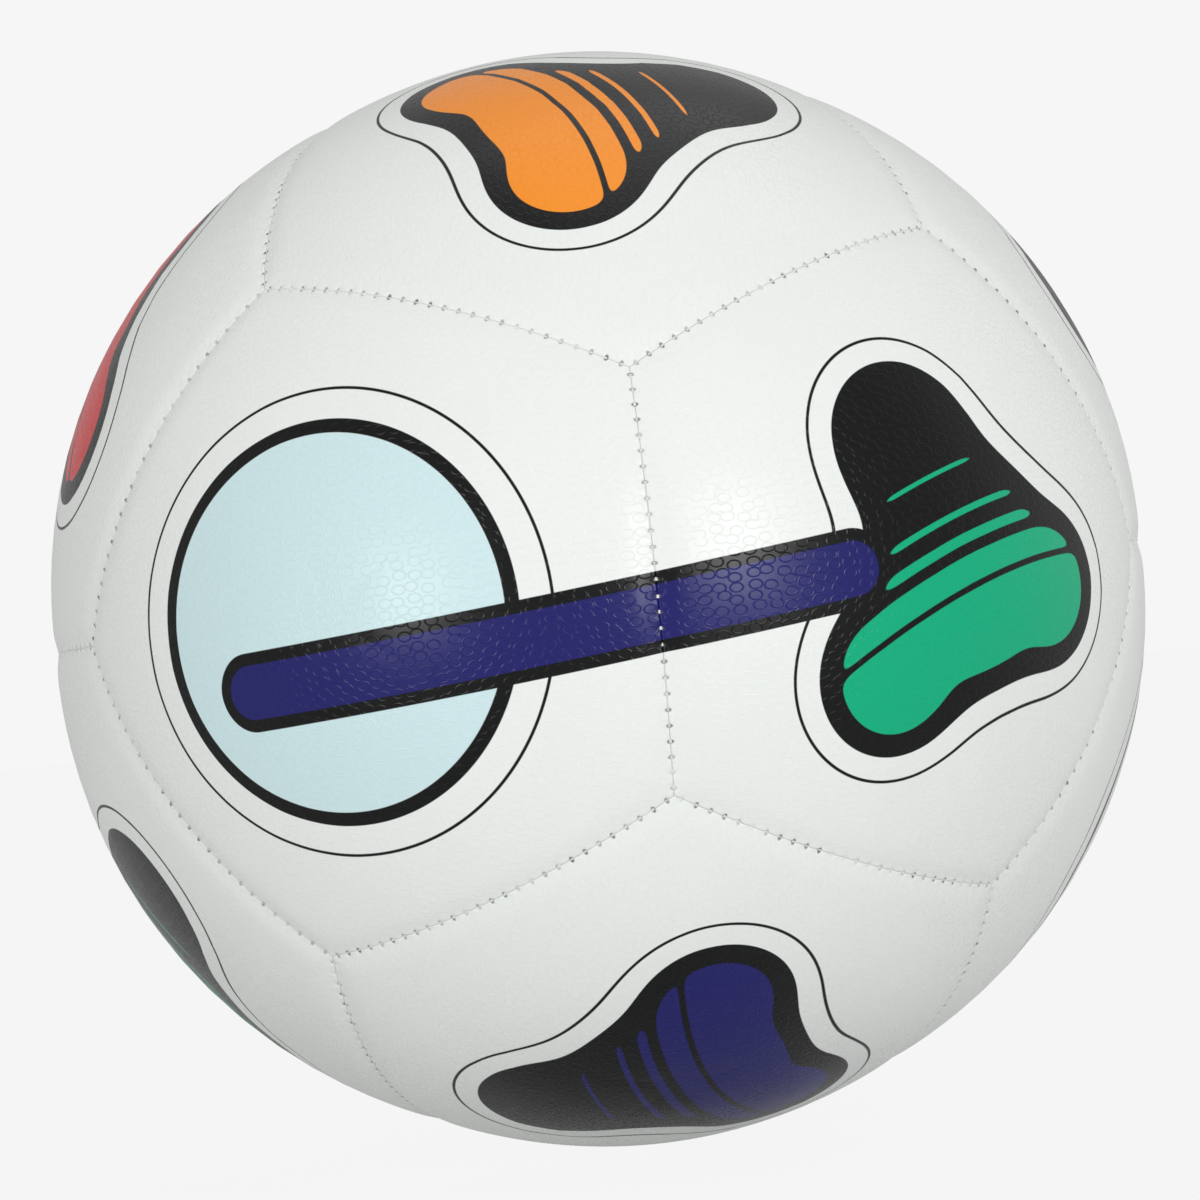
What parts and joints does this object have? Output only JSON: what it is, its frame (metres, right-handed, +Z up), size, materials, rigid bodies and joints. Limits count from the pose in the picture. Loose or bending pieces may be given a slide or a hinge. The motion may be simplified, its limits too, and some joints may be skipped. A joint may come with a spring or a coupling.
{
  "type": "stitched soccer ball",
  "caption": "Round inflatable kicking ball: stitched pentagonal panels of skin, foam and cloth over a rubber bladder with a needle valve.",
  "frame": {"origin": "centre of the ball", "axes": "+Z up and -Y towards the front, with each of the X, Y and Z axes passing through the middles of two opposite seams; the valve faces (1, 1.618, 0), at the right rear"},
  "size_m": [0.218, 0.218, 0.218],
  "materials": {
    "skin": "satin",
    "foam": "matte",
    "backing_cloth": "matte",
    "thread": "matte",
    "bladder_rubber": "matte",
    "valve_rubber": "matte"
  },
  "bodies": {
    "root": {"front_left_cover": "skin", "rear_left_cover": "skin", "front_right_cover": "skin", "rear_right_cover": "skin", "bottom_front_cover": "skin", "top_front_cover": "skin", "bottom_rear_cover": "skin", "top_rear_cover": "skin", "left_lower_cover": "skin", "right_lower_cover": "skin", "left_upper_cover": "skin", "right_upper_cover": "skin", "front_left_foam": "foam", "rear_left_foam": "foam", "front_right_foam": "foam", "rear_right_foam": "foam", "bottom_front_foam": "foam", "top_front_foam": "foam", "bottom_rear_foam": "foam", "top_rear_foam": "foam", "left_lower_foam": "foam", "right_lower_foam": "foam", "left_upper_foam": "foam", "right_upper_foam": "foam", "front_left_cloth": "backing_cloth", "rear_left_cloth": "backing_cloth", "front_right_cloth": "backing_cloth", "rear_right_cloth": "backing_cloth", "bottom_front_cloth": "backing_cloth", "top_front_cloth": "backing_cloth", "bottom_rear_cloth": "backing_cloth", "top_rear_cloth": "backing_cloth", "left_lower_cloth": "backing_cloth", "right_lower_cloth": "backing_cloth", "left_upper_cloth": "backing_cloth", "right_upper_cloth": "backing_cloth", "front_bowl_stitches": "thread", "rear_bowl_stitches": "thread", "joining_stitches": "thread", "closing_stitches": "thread", "bladder": "bladder_rubber", "valve_patch": "valve_rubber", "valve_sleeve": "valve_rubber", "valve_plug": "valve_rubber"}
  },
  "joints": []
}
